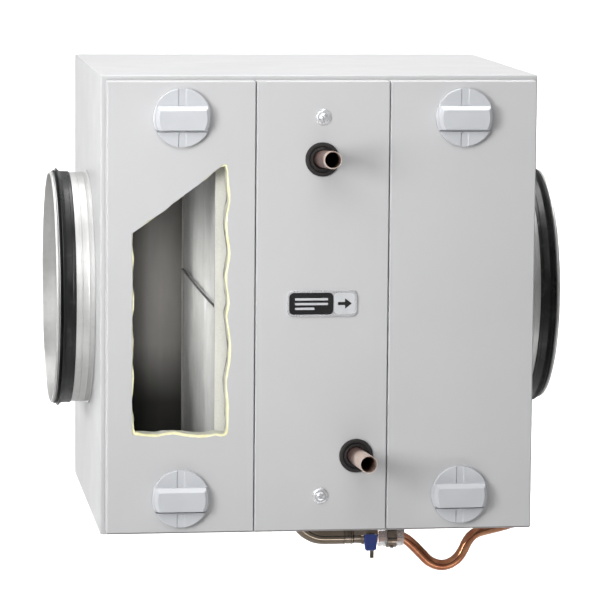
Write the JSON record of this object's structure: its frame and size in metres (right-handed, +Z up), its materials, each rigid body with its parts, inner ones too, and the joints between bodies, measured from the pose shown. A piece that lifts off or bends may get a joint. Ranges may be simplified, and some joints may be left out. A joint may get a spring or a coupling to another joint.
{
  "type": "duct coil unit",
  "caption": "Wall-hung insulated duct coil unit with round spigots, lift-off doors on quarter-turn knobs, pull-out filter, water coil, and a condensate drain with valve and trap.",
  "frame": {"origin": "middle of the upper wall rail's back face", "axes": "+X to the right seen from the front, +Y back into the wall, +Z up"},
  "size_m": [0.5376, 0.4996, 0.5619],
  "materials": {
    "paint": "fine-textured light grey-white powder coat",
    "liner_sheet": "dull galvanised inner sheet",
    "zinc": "zinc plated",
    "galvanised": "bright galvanised duct sheet",
    "foam": "pale yellow cellular foam",
    "knob_plastic": "satin light grey moulded plastic",
    "rubber": "satin black rubber",
    "copper": "drawn copper with tarnish",
    "fleece": "white filter fleece",
    "filter_card": "white filter card",
    "dark_wire": "dark wire",
    "fins": "thin aluminium fins",
    "tray_plastic": "dark moulded plastic",
    "screw_steel": "bright zinc plated steel",
    "plated_steel": "nickel plated",
    "blue_grip": "glossy blue dipped grip",
    "clear_hose": "clear soft plastic hose",
    "badge_plate": "dark badge plate with a silver rim"
  },
  "bodies": {
    "casing": {"casing_skin": "paint", "back_skin": "paint", "casing_foam": "foam", "casing_liner": "liner_sheet", "mullion_left": "zinc", "mullion_right": "zinc", "centre_gasket": "rubber", "filter_rail_lower": "zinc", "filter_rail_upper": "zinc", "coil_fins": "fins", "coil_plate_front": "zinc", "coil_plate_back": "zinc", "coil_tubes": "copper", "pipe_upper": "copper", "pipe_lower": "copper", "grommet_upper": "rubber", "grommet_lower": "rubber", "panel_screw_upper": "screw_steel", "panel_screw_lower": "screw_steel", "panel_washer_upper": "zinc", "panel_washer_lower": "zinc", "badge": "badge_plate", "condensate_tray": "tray_plastic", "drain_elbow": "plated_steel", "drain_nut": "plated_steel", "valve_body": "plated_steel", "drain_trap": "copper", "trap_clamp": "plated_steel", "trap_hose": "clear_hose", "spigot_left": "galvanised", "spigot_right": "galvanised", "spigot_seal_left": "rubber", "spigot_seal_right": "rubber", "wall_rail_upper": "zinc", "wall_rail_lower": "zinc", "centre_panel_skin": "paint", "centre_panel_foam": "foam", "centre_panel_inner_skin": "liner_sheet", "latch_socket_upper_left": "zinc", "latch_socket_upper_right": "zinc", "latch_socket_lower_left": "zinc", "latch_socket_lower_right": "zinc"},
    "left_door": {"left_door_skin": "paint", "left_door_foam": "foam", "left_door_inner_skin": "liner_sheet", "left_gasket": "rubber"},
    "right_door": {"right_door_skin": "paint", "right_door_foam": "foam", "right_door_inner_skin": "liner_sheet", "right_gasket": "rubber"},
    "filter": {"filter_frame": "filter_card", "filter_fleece": "fleece", "filter_wire": "dark_wire"},
    "valve_handle": {"valve_ball": "plated_steel", "valve_lever": "plated_steel", "lever_grip": "blue_grip"},
    "knob_upper_left": {"knob_upper_left": "knob_plastic"},
    "knob_upper_right": {"knob_upper_right": "knob_plastic"},
    "knob_lower_left": {"knob_lower_left": "knob_plastic"},
    "knob_lower_right": {"knob_lower_right": "knob_plastic"}
  },
  "joints": [
    {"name": "left_door_lift_off", "type": "slide", "parent": "casing", "child": "left_door", "axis": [0, -1, 0], "range_m": [0, 0.46]},
    {"name": "right_door_lift_off", "type": "slide", "parent": "casing", "child": "right_door", "axis": [0, -1, 0], "range_m": [0, 0.46]},
    {"name": "filter_pull_out", "type": "slide", "parent": "casing", "child": "filter", "axis": [0, -1, 0], "range_m": [0, 0.37]},
    {"name": "drain_valve_turn", "type": "hinge", "parent": "casing", "child": "valve_handle", "pos_m": [0.0835, -0.217, -0.472], "axis": [0, -1, 0], "range_deg": [0, 90]},
    {"name": "knob_upper_left_turn", "type": "hinge", "parent": "left_door", "child": "knob_upper_left", "pos_m": [-0.1465, -0.411, 0.007], "axis": [0, -1, 0], "range_deg": [0, 90]},
    {"name": "knob_upper_right_turn", "type": "hinge", "parent": "right_door", "child": "knob_upper_right", "pos_m": [0.1465, -0.411, 0.007], "axis": [0, -1, 0], "range_deg": [0, 90]},
    {"name": "knob_lower_left_turn", "type": "hinge", "parent": "left_door", "child": "knob_lower_left", "pos_m": [-0.1465, -0.411, -0.388], "axis": [0, -1, 0], "range_deg": [0, 90]},
    {"name": "knob_lower_right_turn", "type": "hinge", "parent": "right_door", "child": "knob_lower_right", "pos_m": [0.1465, -0.411, -0.388], "axis": [0, -1, 0], "range_deg": [0, 90]}
  ],
  "couplings": [
    {"joint": "filter_pull_out", "follows": "left_door_lift_off", "ratio": 0.8}
  ]
}
